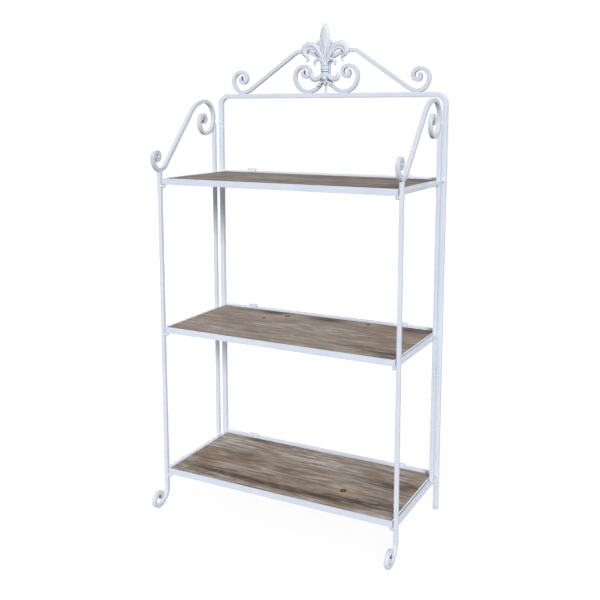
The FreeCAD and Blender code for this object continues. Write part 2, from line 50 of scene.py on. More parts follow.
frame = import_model()
random.seed(41)

MM = 0.001
CENTRE_Y = 121.0

LEVELS = {"bottom": 95.0, "middle": 475.0, "top": 855.0}
SIDES = {"left": -1, "right": 1}

# Side frames
SIDE_BAR = 9.5
SIDE_X = 320.25
SIDE_DEPTH = 258.0
RAIL_DROP = 1.5
REAR_TOP = 988.0
FOOT_BEND_Z = 42.75
VOLUTE_Z = 875.3
LOOP_Z = 1045.5
LOOP_INSET = 4
RISE_RADII = (30, 82)
HAIR = 0.04
PEG_RADIUS = 4.2
PEG_CLEARANCE = 0.25

# Back frame
HOOP_TOP = 1066.0
HOOP_Y = 292.0
HOOP_BEND = 24.0
LEG_TUBE = 12.0
LEG_WALL = 1.2
LEG_ROUNDING = 1.6
LEG_INNER_ROUNDING = 0.7
LEG_X = 321.0
BACK_RAIL_Y = 290.75
BACK_RAIL_RISE = 4.0

# Shelves
SHELF_HALF_WIDTH = 312.5
SHELF_DEPTH = 285.5
ANGLE_LEG = 15.0
ANGLE_WALL = 3.0
BOARD_GAP = 0.35

# Crest. The photograph shows its bars a little thicker than the construction holds them.
CREST_BAR = 8.0
CREST_FACE = 9.4
VOLUTE_X = 250
SHOULDER_X = 74
SHOULDER_RISE = 103
SHOULDER_RADIUS = 105.0
SHOULDER_BOW = 28.0
SLOPE_RADII = (46, 30.6)
NECK_GAP = 3.2
CURL_LOW_X = 52.2
FLEUR_Y = 284.0
BOSS_Z = 1104.5

# Side hinges: straps from the legs lie below the shelf levels, and the eyes below the straps
HINGE_LEVELS = [LEVELS["bottom"], LEVELS["top"]]
PIVOT_Y = 262.75
STRAP_DROP = 3
STRAP_THICKNESS = 3
STRAP_WELD_Y = 286
EYE_DROP = 6.4
EYE_HEIGHT = 10

# Steps of the scrolls: a turn in degrees and a radius, or no turn and a length
FOOT = ((0, VOLUTE_Z - FOOT_BEND_Z), (-90, 38), (-45, 18), (-45, 18), (-45, 14), (-45, 24),
        (-90, 8.5), (-105, 5.7))
VOLUTE = ((60, 7.5), (90, 9), (90, 10.2), (90, 14.7), (45, 32.1), (45, 24))
LOOP = ((-90, 42), (-45, 47.04), (-45, 33.18), (-90, 28.98), (-45, 21.84), (-45, 15.96),
        (-90, 10.08), (-90, 7.56), (-45, 6.3))
CREST_VOLUTE = ((90, 5), (90, 7.5), (90, 11.75), (45, 14), (45, 20), (45, 23.75), (45, 21.5),
                (45, 33.75), (45, 25.75))
CREST_CURL = ((-45, 39.9), (-45, 47.12), (-45, 35.72), (-45, 40.28), (-90, 25.84), (-45, 19),
              (-45, 12.16), (-90, 12.16), (-90, 7.6), (-90, 4.94))

UP = Vector((0, 0, 1))
ACROSS = Vector((1, 0, 0))
FORWARD = Vector((0, -1, 0))


def world(x, y, z):
    return Vector((x, y - CENTRE_Y, z)) * MM


# Paths of tangent arcs in a plane

ARC_STEP = 5.0


def heading_vector(heading):
    return Vector((math.cos(math.radians(heading)), math.sin(math.radians(heading))))


def left_vector(heading):
    return heading_vector(heading + 90)


def follow(start, heading, turn, reach, share):
    """The point and the heading at a share of one step of a path."""
    if turn == 0:
        return start + heading_vector(heading) * reach * share, heading
    side = math.copysign(1, turn)
    centre = start + left_vector(heading) * side * reach
    there = heading + turn * share
    return centre - left_vector(there) * side * reach, there


def trace(start, heading, steps, stride=12.0):
    """Closely spaced points and headings along a path."""
    stations = [(start, heading)]
    for turn, reach in steps:
        count = math.ceil(abs(turn) / ARC_STEP) if turn else math.ceil(reach / stride)
        first, aim = stations[-1]
        for index in range(1, count + 1):
            stations.append(follow(first, aim, turn, reach, index / count))
    return stations


def trace_to(target, heading, steps):
    """Like trace, for a path that ends at a target with a heading."""
    first = heading - sum(turn for turn, reach in steps)
    end = trace(Vector((0, 0)), first, steps)[-1][0]
    return trace(target - end, first, steps)


def cross_over(low, low_radius, high, high_radius):
    """Steps from the lowest point of one bend, straight on, to the highest point of another."""
    gap = high - Vector((0, high_radius)) - low - Vector((0, low_radius))
    tilt = math.degrees(math.asin((low_radius + high_radius) / gap.length))
    turn = math.degrees(math.atan2(gap.y, gap.x)) + tilt
    length = gap.length * math.cos(math.radians(tilt))
    return [(turn, low_radius), (0, length), (-turn, high_radius)]


def side_scroll_path():
    low = Vector((SIDE_BAR / 2, VOLUTE_Z))
    high = Vector((SIDE_DEPTH - LOOP_INSET - SIDE_BAR / 2 - LOOP[0][1], LOOP_Z))
    volute = trace_to(low, 0, VOLUTE)
    rise = cross_over(low, RISE_RADII[0], high, RISE_RADII[1])
    return volute + trace(low, 0, rise + list(LOOP))[1:]


def crest_path():
    half = CREST_BAR / 2
    low = Vector((-VOLUTE_X, half))
    high = Vector((-SHOULDER_X, half + SHOULDER_RISE))
    bow = math.radians(SHOULDER_BOW)
    sine, cosine = math.sin(bow), math.cos(bow)
    neck = (SHOULDER_X - NECK_GAP - half - SHOULDER_RADIUS * sine) / (1 - sine)
    curl_low = trace(Vector((0, 0)), -90, CREST_CURL[:2])[-1][0]
    drop = SHOULDER_RISE - SHOULDER_RADIUS * (1 - cosine) - neck * cosine + curl_low.y
    steps = cross_over(low, SLOPE_RADII[0], high, SLOPE_RADII[1])
    steps += [(-SHOULDER_BOW, SHOULDER_RADIUS), (SHOULDER_BOW - 90, neck), (0, drop)]
    return trace_to(low, 0, CREST_VOLUTE) + trace(low, 0, steps + list(CREST_CURL))[1:]


# The bent bars, each traced once

SIDE_SCROLL = side_scroll_path()
FRONT_UPRIGHT = trace(Vector((SIDE_BAR / 2, VOLUTE_Z)), -90, FOOT)
CREST_SCROLL = crest_path()


# Meshes

BAR_ROUNDING = 1.0
BAR_END = 0.8

# The bars' thickness varies by a share of itself, in waves of a density per millimetre
WAVER = 0.008
WAVER_DENSITY = 0.05

BEAD_SPACING = 0.6
BEAD_CORNERS = 10
BEAD_LUMPS = 0.14
BEAD_RIPPLE = 3.2

# Half length and radius of each kind of weld
RAIL_WELD = (4, 1.1)
VOLUTE_WELD = (4, 1.0)
REAR_TOP_WELD = (3.6, 1.4)
EYE_WELD = (3.6, 0.7)
STRAP_WELD = (3.6, 0.8)
CREST_WELD = (2.6, 0.9)
CREST_BACK_WELD = (2.1, 1.3)

# How far the middles of welds lie from the faces and ends beside them, in front of a back edge
# or a middle, and apart behind the crest
FACE_OFF = 0.1
LEG_OFF = 0.2
RAIL_OFF = 0.3
END_OFF = 0.4
IN_FRONT = 3.2
CREST_SPREAD = 4.3


def add_object(name, data):
    obj = bpy.data.objects.new(name, data)
    bpy.context.scene.collection.objects.link(obj)
    return obj


def add_mesh(name, bm, material):
    bmesh.ops.recalc_face_normals(bm, faces=bm.faces)
    mesh = bpy.data.meshes.new(name)
    bm.to_mesh(mesh)
    bm.free()
    mesh.materials.append(material)
    return add_object(name, mesh)


def piece(name, bm, body, material, replaces=()):
    """Turn a bmesh into a named piece that rides on a body."""
    obj = add_mesh(name, bm, material)
    obj.data.shade_smooth()
    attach(obj, body)
    if replaces:
        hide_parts(*replaces)
    return obj


def crisp(obj):
    """Flat faces look flat and only the narrow rounded edges shade from one to the next."""
    normals = obj.modifiers.new("Normals", "WEIGHTED_NORMAL")
    normals.weight = 100


def bridge(bm, one, two):
    """Faces between two closed rings of vertices."""
    for corner in range(len(one)):
        after = (corner + 1) % len(one)
        bm.faces.new((one[corner], one[after], two[after], two[corner]))


def loft(bm, rings, capped=True, closed=False):
    """Skin rings of equal counts; capped fills both ends, closed joins the last to the first."""
    made = [[bm.verts.new(corner) for corner in ring] for ring in rings]
    pairs = list(zip(made, made[1:]))
    if closed:
        pairs.append((made[-1], made[0]))
    for one, two in pairs:
        bridge(bm, one, two)
    if capped:
        bm.faces.new(made[0])
        bm.faces.new(made[-1])
    return made


def rounded_square(half, corner):
    """Points of a square section with rounded corners."""
    steps = 3
    points = []
    for quarter, side in enumerate(((1, 1), (-1, 1), (-1, -1), (1, -1))):
        for step in range(steps + 1):
            angle = math.radians(90 * (quarter + step / steps))
            reach = Vector((math.cos(angle), math.sin(angle))) * corner
            points.append(Vector(side) * (half - corner) + reach)
    return points


def square_bar(stations, place, half):
    """A square bar along stations, with eased ends; place turns (u, v, depth) into the world."""
    section = rounded_square(half, BAR_ROUNDING)
    tip = (half - BAR_END) / half
    eased = BAR_END * 0.3
    near_tip = (half - eased) / half
    rings = []
    last = len(stations) - 1
    for index, (point, heading) in enumerate(stations):
        sample = Vector((point.x * WAVER_DENSITY, point.y * WAVER_DENSITY, half))
        full = 1 + WAVER * noise.noise(sample)
        scales = [(0, full)]
        if index == 0:
            scales = [(0, tip), (eased, near_tip), (BAR_END, full)]
        if index == last:
            scales = [(-BAR_END, full), (-eased, near_tip), (0, tip)]
        beside = left_vector(heading)
        for shift, scale in scales:
            there = point + heading_vector(heading) * shift
            rings.append([place(there.x + beside.x * across * scale,
                                there.y + beside.y * across * scale, deep * scale)
                          for across, deep in section])
    bm = bmesh.new()
    loft(bm, rings)
    return bm


def in_side_plane(x):
    return lambda u, v, deep: world(x + deep, u, v)


def in_back_plane(y, z, mirror):
    return lambda u, v, deep: world(mirror * u, y + deep, z + v)


def straight_bar(start, end, half):
    """A straight square bar along one of the axes, between two points in millimetres."""
    axis = (end - start).normalized()
    beside = UP if axis.z < 0.5 else ACROSS
    deep_way = axis.cross(beside)

    def place(u, v, deep):
        return world(*(start + axis * u + beside * v + deep_way * deep))

    length = (end - start).length
    return square_bar(trace(Vector((0, 0)), 0, [(0, length)], stride=40.0), place, half)


def around(corners):
    """Even steps once round a circle, each as its cosine and its sine."""
    angles = [math.tau * corner / corners for corner in range(corners)]
    return [(math.cos(angle), math.sin(angle)) for angle in angles]


def circle(centre, axis, radius, corners):
    """Points of a circle about an axis, in millimetres in, in metres out."""
    beside = axis.orthogonal().normalized()
    other = axis.cross(beside)
    return [world(*(centre + (beside * cosine + other * sine) * radius))
            for cosine, sine in around(corners)]


def bead(bm, start, end, radius):
    """A weld: a lumpy run between two points in millimetres, thin at both ends."""
    axis = (end - start).normalized()
    length = (end - start).length
    count = max(6, round(length / BEAD_SPACING))
    phase = random.random() * 6
    rings = []
    for index in range(count + 1):
        share = index / count
        swell = math.sqrt(max(0.04, 1 - abs(2 * share - 1) ** 3))
        lumps = 1 + BEAD_LUMPS * math.sin(length * share * BEAD_RIPPLE + phase)
        centre = start + axis * length * share
        rings.append(circle(centre, axis, radius * swell * lumps, BEAD_CORNERS))
    loft(bm, rings)


def weld_at(bm, x, y, z, weld, along=ACROSS):
    """A weld of a kind, with its middle at a point."""
    half_length, radius = weld
    middle = Vector((x, y, z))
    bead(bm, middle - along * half_length, middle + along * half_length, radius)


def turned(bm, profile, centre, axis, sides=28):
    """A round piece: (distance along the axis, radius) pairs turned about a centre."""
    loft(bm, [circle(centre + axis * reach, axis, radius, sides) for reach, radius in profile])


# Nodes of a material

class Field:
    """A number that varies over a surface, so that sums of nodes can be written plainly."""

    def __init__(self, tree, socket):
        self.tree = tree
        self.socket = socket

    def calc(self, operation, *others, clamp=False):
        math_node = self.tree.nodes.new("ShaderNodeMath")
        math_node.operation = operation
        math_node.use_clamp = clamp
        for index, value in enumerate((self,) + others):
            plug(self.tree, math_node.inputs[index], value)
        return Field(self.tree, math_node.outputs[0])

    def __add__(self, other):
        return self.calc("ADD", other)

    def __sub__(self, other):
        return self.calc("SUBTRACT", other)

    def __mul__(self, other):
        return self.calc("MULTIPLY", other)

    def power(self, other):
        return self.calc("POWER", other)

    def clamped(self):
        return self.calc("ADD", 0.0, clamp=True)

    def opposite(self):
        """1 where this is 0 and 0 where this is 1."""
        return self * -1.0 + 1.0

    def absolute(self):
        return self.calc("ABSOLUTE")

    def ramp(self, low, high):
        """0 at low and 1 at high, with soft ends."""
        node = self.tree.nodes.new("ShaderNodeMapRange")
        node.interpolation_type = "SMOOTHSTEP"
        plug(self.tree, node.inputs["Value"], self)
        node.inputs["From Min"].default_value = low
        node.inputs["From Max"].default_value = high
        return Field(self.tree, node.outputs["Result"])


def plug(tree, target, value):
    """Link a field or a socket to an input, or set the input to a plain value."""
    if isinstance(value, Field):
        value = value.socket
    if isinstance(value, bpy.types.NodeSocket):
        tree.links.new(value, target)
    else:
        target.default_value = value


def new_material(name):
    material = bpy.data.materials.new(name)
    material.use_nodes = True
    tree = material.node_tree
    return material, tree, tree.nodes["Principled BSDF"]


def grain(tree, place, scale, stretch=(1, 1, 1), offset=(0, 0, 0), detail=3.0, roughness=0.5):
    """Noise over the surface, stretched along the axes."""
    mapping = tree.nodes.new("ShaderNodeMapping")
    plug(tree, mapping.inputs["Vector"], place)
    mapping.inputs["Scale"].default_value = stretch
    mapping.inputs["Location"].default_value = offset
    texture = tree.nodes.new("ShaderNodeTexNoise")
    plug(tree, texture.inputs["Vector"], mapping.outputs["Vector"])
    texture.inputs["Scale"].default_value = scale
    texture.inputs["Detail"].default_value = detail
    texture.inputs["Roughness"].default_value = roughness
    return Field(tree, texture.outputs[0])


def mix(tree, share, one, two):
    """Colour one where the share is 0 and colour two where it is 1."""
    node = tree.nodes.new("ShaderNodeMix")
    node.data_type = "RGBA"
    # The sockets of a mix of colours come after those for numbers and vectors
    for index, value in ((0, share), (6, one), (7, two)):
        plug(tree, node.inputs[index], value)
    return node.outputs[2]


def bump(tree, height, distance, strength, below=None):
    node = tree.nodes.new("ShaderNodeBump")
    plug(tree, node.inputs["Height"], height)
    node.inputs["Distance"].default_value = distance
    node.inputs["Strength"].default_value = strength
    if below is not None:
        plug(tree, node.inputs["Normal"], below)
    return node.outputs["Normal"]


def srgb(red, green, blue):
    """A colour from 0 to 255 as the shader wants it."""
    linear = []
    for value in (red, green, blue):
        share = value / 255
        linear.append(share / 12.92 if share < 0.04045 else ((share + 0.055) / 1.055) ** 2.4)
    return tuple(linear) + (1.0,)


def tint(colour, red, green, blue):
    return (colour[0] * red, colour[1] * green, colour[2] * blue, 1.0)


def coordinates(tree, kind):
    return tree.nodes.new("ShaderNodeTexCoord").outputs[kind]


def parts_of(tree, vector):
    """The x, y and z of a vector."""
    split = tree.nodes.new("ShaderNodeSeparateXYZ")
    plug(tree, split.inputs[0], vector)
    return [Field(tree, output) for output in split.outputs]


def covered(tree, reach):
    """How much of the space within a reach other faces fill."""
    shade = tree.nodes.new("ShaderNodeAmbientOcclusion")
    shade.samples = 8
    shade.inputs["Distance"].default_value = reach
    return Field(tree, shade.outputs["AO"]).opposite()


def sharp_edge(tree, width):
    """0 on flat faces and more towards an edge, within a width."""
    shape = tree.nodes.new("ShaderNodeNewGeometry")
    rounded = tree.nodes.new("ShaderNodeBevel")
    rounded.samples = 4
    rounded.inputs["Radius"].default_value = width
    turn = tree.nodes.new("ShaderNodeVectorMath")
    turn.operation = "DOT_PRODUCT"
    plug(tree, turn.inputs[0], shape.outputs["Normal"])
    plug(tree, turn.inputs[1], rounded.outputs["Normal"])
    return Field(tree, turn.outputs["Value"]).opposite()


def spot(x, y, centre, size):
    """1 at a centre, falling off over a size; all in metres."""
    across = (x - centre[0]) * (1 / size[0])
    along = (y - centre[1]) * (1 / size[1])
    reach = across * across + along * along
    return (reach * -1.0).calc("EXPONENT")


# Paint

SCUFF_HEIGHT = 10
SCUFFED = srgb(150, 138, 126)
# Painted shade deep in the scrolls' tight middles has this dark brown
EYE_SHADE = srgb(60, 49, 42)
RUBBED = srgb(158, 148, 138)
CHIPPED = srgb(150, 136, 122)


def paint_material(name, colour, offset, wear=0.35, seam_shade=(172, 166, 162), reach=9, under=0.1,
                   eyes=(), across="X"):
    """White paint: soft mottling, orange peel, painted shade in the seams and rubbed edges.

    The offset moves the pattern, reach is how far the painted shade spreads from a seam in
    millimetres, under is the least darkening of undersides, painted shade with a thinner coat,
    and eyes are the places of painted shade in the middles of scrolls.
    """
    material, tree, shader = new_material(name)
    place = coordinates(tree, "Object")
    cloud = grain(tree, place, 9, offset=(offset, 0, 0), detail=4)
    blotch = grain(tree, place, 70, offset=(0, offset, 0))
    peel = grain(tree, place, 520, detail=2)
    fleck = grain(tree, place, 260, offset=(0, 0, offset), detail=5, roughness=0.65)
    tone = mix(tree, cloud.ramp(0.35, 0.68), colour, tint(colour, 0.92, 0.93, 0.955))
    tone = mix(tree, blotch.ramp(0.45, 0.75) * 0.4, tone, tint(colour, 0.93, 0.915, 0.905))

    # Painted shade and a thinner coat darken and brown what faces the floor; scuffs near the
    # floor itself
    facing = parts_of(tree, coordinates(tree, "Normal"))
    beneath = (facing[2] * -1.0).ramp(0.35, 0.95)
    tone = mix(tree, beneath * (blotch * 0.5 + under), tone, tint(colour, 0.66, 0.58, 0.51))
    low = parts_of(tree, place)[2].ramp(SCUFF_HEIGHT * MM, 0.0)
    tone = mix(tree, low * fleck.ramp(0.42, 0.62) * 0.5, tone, SCUFFED)

    # Painted shade where two pieces meet, darkest deep in the seams
    seam = covered(tree, reach * MM).ramp(0.30, 0.85)
    tone = mix(tree, seam * (blotch * 0.4 + 0.4), tone, srgb(*seam_shade))
    # Painted shade deep in the tight middles of the scrolls
    if eyes:
        ragged = fleck.ramp(0.36, 0.56) * 0.45 + 0.5
        tone = mix(tree, eye_shade_mask(tree, place, eyes, across) * ragged, tone, EYE_SHADE)

    # Rubbed edges and chips show the primer
    rub = (sharp_edge(tree, 0.9 * MM).ramp(0.03, 0.2) * fleck.ramp(0.60, 0.74)
           * cloud.ramp(0.42, 0.6) * wear)
    tone = mix(tree, rub, tone, RUBBED)
    chip = fleck.ramp(0.75, 0.78) * cloud.ramp(0.55, 0.66) * wear
    tone = mix(tree, chip, tone, CHIPPED)

    plug(tree, shader.inputs["Base Color"], tone)
    plug(tree, shader.inputs["Roughness"], blotch * 0.16 + 0.40 + seam * 0.25)
    shader.inputs["Specular IOR Level"].default_value = 0.42
    skin = bump(tree, peel, 0.10 * MM, 0.25)
    skin = bump(tree, blotch, 0.5 * MM, 0.15, skin)
    plug(tree, shader.inputs["Normal"], bump(tree, (chip + rub).opposite(), 0.12 * MM, 0.8, skin))
    return material


def eye_shade_mask(tree, place, eyes, across):
    """1 deep inside the tight middles of rolled scrolls, where painted shade darkens the paint.

    The scrolls lie in a plane across an axis. Those of the back frame mirror each other.
    """
    x, y, up = parts_of(tree, place)
    normal = parts_of(tree, coordinates(tree, "Normal"))
    if across == "X":
        along, out_of_plane = y, normal[0]
    else:
        along, out_of_plane = x.absolute(), normal[1]
    centre, size = eyes[0]
    depth = spot(along, up, centre, (size, size))
    for centre, size in eyes[1:]:
        depth = depth + spot(along, up, centre, (size, size))
    return depth.ramp(0.15, 0.8) * out_of_plane.absolute().ramp(0.85, 0.25)


# Wood

KNOT_RING = srgb(56, 42, 34)
KNOT_HEART = srgb(140, 116, 94)
GROOVE_DIRT = srgb(62, 52, 45)
PORE = srgb(96, 84, 74)
# Painted shade where the board meets the frame has this dark brown
RIM_SHADE = srgb(70, 58, 48)


def wood_material(name, offset, tone, figure, dark_share, stains_and_painted_shade, pale, knots, seam=None):
    """Weathered softwood: fibres along x, dark staining, whitewash, knots and a glued seam, with
    painted shade along the front edge and where the board meets the frame.

    The offset moves the pattern, tone scales the browns, figure is the grain's contrast and
    dark_share the strength of staining that has no place of its own.
    """
    material, tree, shader = new_material(name)
    place = coordinates(tree, "Object")
    x, y, z = parts_of(tree, place)

    # The fibres sway and part round each knot
    sway = grain(tree, place, 1, (5, 16, 1), (offset, offset, 0), detail=2) - 0.5
    bent = y + sway * 0.016
    for centre, size in knots:
        push = spot(x, y, centre, (size * 3.4, size * 2.2))
        bent = bent - (y - centre[1]) * push * 0.75
    joined = tree.nodes.new("ShaderNodeCombineXYZ")
    for index, value in enumerate((x, bent, z)):
        plug(tree, joined.inputs[index], value)
    flow = joined.outputs[0]

    # Grain from fine to coarse
    fibre = grain(tree, flow, 1, (26, 900, 60), (offset, 0, 0), detail=4, roughness=0.7)
    thread = grain(tree, flow, 1, (11, 290, 30), (0, offset, 0), roughness=0.65)
    streak = grain(tree, flow, 1, (7, 125, 20), (offset, 0, offset), detail=4, roughness=0.7)
    patch = grain(tree, flow, 1, (17, 88, 9), (offset * 3, 0, 0), detail=6, roughness=0.8)
    band = grain(tree, flow, 1, (5.5, 58, 8), (offset, offset, 0), detail=5, roughness=0.7)
    broad = grain(tree, flow, 1, (4.5, 19, 5), (0, offset * 2, 0), detail=5, roughness=0.65)
    rings = (bent * 520 + band * 26).calc("SINE") * 0.5 + 0.5

    def shade_of(red, green, blue):
        return srgb(red * tone, green * tone, blue * tone)

    # Layers of brown
    colour = mix(tree, broad.ramp(0.36, 0.64), shade_of(154, 137, 123), shade_of(194, 185, 175))
    colour = mix(tree, 1 - figure, colour, shade_of(172, 158, 146))
    colour = mix(tree, band.ramp(0.42, 0.62) * (0.6 * figure), colour, shade_of(126, 105, 90))
    colour = mix(tree, rings.power(3.0) * 0.22, colour, shade_of(106, 86, 71))
    colour = mix(tree, streak.ramp(0.50, 0.66) * (0.66 * figure), colour, shade_of(93, 77, 66))
    colour = mix(tree, thread.ramp(0.49, 0.60) * 0.5, colour, shade_of(97, 81, 70))
    colour = mix(tree, patch.ramp(0.50, 0.64) * 0.4, colour, shade_of(111, 93, 81))

    # Whitewash, thin everywhere and thicker in the pale spots
    ragged = fibre.ramp(0.40, 0.52) * streak.ramp(0.60, 0.46)
    wash = patch.ramp(0.48, 0.38) * ragged * (0.45 * figure)
    ragged_patch = patch.ramp(0.56, 0.38) * (ragged * 0.6 + 0.3)
    for centre, size, strength in pale:
        wash = wash + spot(x, y, centre, size) * ragged_patch * strength
    colour = mix(tree, wash.clamped(), colour, shade_of(200, 199, 200))

    # Dark stains, and in the listed places a thin line of painted shade along the board's front
    # edge
    stain_and_painted_shade = broad.ramp(0.56, 0.76) * streak.ramp(0.40, 0.60) * dark_share
    rough = thread.ramp(0.38, 0.62) * 0.5 + patch.ramp(0.38, 0.60) * 0.5 + streak * 0.4
    for centre, size, strength in stains_and_painted_shade:
        stain_and_painted_shade = stain_and_painted_shade + spot(x, y, centre, size) * rough * strength
    stain_and_painted_shade = stain_and_painted_shade * (fibre.ramp(0.3, 0.7) * 0.7 + 0.55)
    colour = mix(tree, stain_and_painted_shade.clamped() * 0.92, colour, shade_of(74, 62, 55))

    for centre, size in knots:
        halo = spot(x, y, centre, (size * 6, size * 4))
        colour = mix(tree, halo * 0.45, colour, shade_of(190, 172, 152))
        ring = spot(x, y, centre, (size * 1.35, size * 1.6))
        colour = mix(tree, ring.ramp(0.18, 0.55) * 0.95, colour, KNOT_RING)
        colour = mix(tree, ring.ramp(0.70, 0.94) * 0.85, colour, KNOT_HEART)

    relief = fibre * 0.6 + thread * 0.4 - rings * 0.12
    if seam is not None:
        groove = ((y - seam + sway * 0.0012).absolute() * 1600).ramp(1.0, 0.0)
        colour = mix(tree, groove * 0.8, colour, GROOVE_DIRT)
        relief = relief - groove * 1.6
    colour = mix(tree, fibre.ramp(0.35, 0.75) * 0.16, colour, PORE)

    # Painted shade darkens the board where it meets the frame
    rim = covered(tree, 6 * MM).ramp(0.1, 0.7)
    colour = mix(tree, rim * 0.7, colour, RIM_SHADE)

    plug(tree, shader.inputs["Base Color"], colour)
    plug(tree, shader.inputs["Roughness"], fibre * 0.22 + 0.66)
    shader.inputs["Specular IOR Level"].default_value = 0.06
    plug(tree, shader.inputs["Normal"], bump(tree, relief, 0.5 * MM, 0.55))
    return material


# Materials of this shelf

# Painted shade in the middles of scrolls: a place in the bars' plane and how far the shade
# reaches, in metres
SIDE_EYES = [(((point.x - CENTRE_Y) * MM, point.y * MM), size)
             for (point, heading), size in ((SIDE_SCROLL[0], 0.0095), (SIDE_SCROLL[-1], 0.0095),
                                            (FRONT_UPRIGHT[-1], 0.006))]
CREST_EYES = [((abs(point.x) * MM, (HOOP_TOP + point.y) * MM), 0.0125)
              for point, heading in (CREST_SCROLL[0], CREST_SCROLL[-1])]

frame_paint = paint_material("frame_paint", srgb(219, 226, 238), 1.7, eyes=SIDE_EYES)
# The side scrolls take a darker copy of the frame's white: painted shade for their slanted faces,
# which the lamps light more than the straight bars
scroll_shaded_paint = paint_material("scroll_shaded_paint", srgb(211, 217, 229), 1.7, eyes=SIDE_EYES)
# The crest's dark brown seam colour and long reach paint shade into its grooves; its strong
# underside darkening is painted shade with a thinner coat
crest_paint = paint_material("crest_paint", srgb(213, 219, 231), 5.3, wear=0.2,
                             seam_shade=(96, 84, 78), reach=15, under=0.45, eyes=CREST_EYES,
                             across="Y")
shelf_paint = paint_material("shelf_paint", srgb(216, 225, 239), 9.1, seam_shade=(196, 197, 201))
hinge_paint = paint_material("hinge_paint", srgb(220, 227, 240), 12.4, wear=0.5)

# Stains and pale spots: centre, size and strength. Knots: centre and radius. In metres. The
# long thin line near y -0.114 among the stains is painted shade where the board meets the front
# angle.
BOARDS = {
    "bottom": dict(
        offset=2.3, tone=1.06, figure=1.0, dark_share=0.5, seam=-0.1,
        stains_and_painted_shade=(((-0.20, -0.070), (0.08, 0.015), 1.3), ((-0.10, -0.079), (0.12, 0.012), 1.3),
                ((0.06, -0.083), (0.12, 0.011), 1.2), ((0.20, -0.070), (0.10, 0.019), 1.5),
                ((-0.185, 0.050), (0.07, 0.018), 0.8), ((-0.06, 0.012), (0.10, 0.013), 0.7),
                ((0.226, 0.047), (0.07, 0.018), 1.5), ((0.285, 0.066), (0.03, 0.016), 0.8),
                ((0.09, -0.004), (0.09, 0.006), 0.5), ((-0.21, 0.148), (0.07, 0.010), 0.6),
                ((0.16, 0.118), (0.08, 0.007), 0.5), ((-0.27, -0.02), (0.03, 0.014), 0.5),
                ((0.27, -0.045), (0.05, 0.016), 0.7), ((0.0, -0.114), (0.3, 0.002), 0.4)),
        pale=(((-0.27, 0.098), (0.05, 0.032), 0.8), ((-0.20, 0.105), (0.05, 0.014), 0.6),
              ((-0.02, 0.125), (0.06, 0.018), 1.4), ((0.04, 0.085), (0.08, 0.022), 1.3),
              ((-0.27, -0.090), (0.04, 0.012), 0.8), ((-0.06, -0.023), (0.06, 0.016), 0.8),
              ((0.118, 0.020), (0.07, 0.014), 0.6), ((0.271, 0.090), (0.05, 0.012), 0.5),
              ((0.21, -0.008), (0.05, 0.012), 0.5), ((0.29, -0.03), (0.03, 0.02), 0.5),
              ((0.0, -0.105), (0.32, 0.009), 0.45)),
        knots=(((0.148, -0.028), 0.0058),)),
    "middle": dict(
        offset=7.9, tone=1.03, figure=0.55, dark_share=0.1,
        stains_and_painted_shade=(((-0.139, 0.140), (0.04, 0.018), 2.3), ((0.017, 0.136), (0.045, 0.017), 2.3),
                ((0.269, 0.138), (0.05, 0.020), 2.3), ((0.186, -0.056), (0.06, 0.009), 1.4),
                ((0.255, -0.083), (0.05, 0.015), 1.4), ((0.285, -0.104), (0.03, 0.012), 1.2),
                ((0.0, -0.114), (0.3, 0.002), 0.4), ((-0.05, 0.09), (0.09, 0.007), 0.3)),
        pale=(((0.08, 0.045), (0.14, 0.035), 0.9), ((-0.19, -0.05), (0.10, 0.03), 0.7),
              ((0.00, -0.04), (0.12, 0.024), 0.8), ((-0.10, 0.03), (0.10, 0.03), 0.7)),
        knots=(((-0.137, 0.079), 0.0042), ((-0.089, 0.124), 0.0054),
               ((0.138, 0.141), 0.0044))),
    "top": dict(
        offset=13.6, tone=0.85, figure=1.0, dark_share=0.6,
        stains_and_painted_shade=(((-0.009, -0.073), (0.05, 0.010), 0.7), ((0.145, -0.098), (0.12, 0.010), 0.8),
                ((0.293, -0.106), (0.03, 0.015), 0.9), ((-0.291, -0.072), (0.05, 0.02), 0.9),
                ((0.28, 0.135), (0.05, 0.02), 0.8), ((0.0, -0.113), (0.3, 0.003), 0.4),
                ((-0.20, 0.11), (0.06, 0.012), 0.9), ((-0.06, 0.09), (0.08, 0.010), 0.7)),
        pale=(((0.1, 0.05), (0.1, 0.02), 0.3),),
        knots=(((-0.162, -0.032), 0.0044),)),
}
boards = {level: wood_material("wood_" + level, **facts) for level, facts in BOARDS.items()}


# Back hoop: a bent tube that is open on the floor

def make_hoop():
    rise = HOOP_TOP - LEG_TUBE / 2 - HOOP_BEND
    bend = (-90, HOOP_BEND)
    steps = [(0, rise), bend, (0, 2 * (LEG_X - HOOP_BEND)), bend, (0, rise)]
    stations = trace(Vector((-LEG_X, 0)), 90, steps)
    bm = bmesh.new()
    shells = []
    outside = LEG_TUBE / 2
    for half, corner in ((outside, LEG_ROUNDING), (outside - LEG_WALL, LEG_INNER_ROUNDING)):
        rings = []
        for point, heading in stations:
            beside = left_vector(heading)
            rings.append([world(point.x + beside.x * across, HOOP_Y + deep,
                                point.y + beside.y * across)
                          for across, deep in rounded_square(half, corner)])
        shells.append(loft(bm, rings, capped=False))
    for end in (0, -1):
        bridge(bm, shells[0][end], shells[1][end])
    crisp(piece("hoop_tube", bm, "back_frame", frame_paint, ["back_hoop"]))


def make_back_rails():
    half = SIDE_BAR / 2
    reach = LEG_X - LEG_TUBE / 2
    for level, top in LEVELS.items():
        z = top + BACK_RAIL_RISE - half
        bm = straight_bar(Vector((-reach, BACK_RAIL_Y, z)), Vector((reach, BACK_RAIL_Y, z)), half)
        crisp(piece("back_bar_" + level, bm, "back_frame", frame_paint,
                    ["back_rail_" + level]))


# Crest: two scrolled bars and the rod between them, whose thickness is uneven

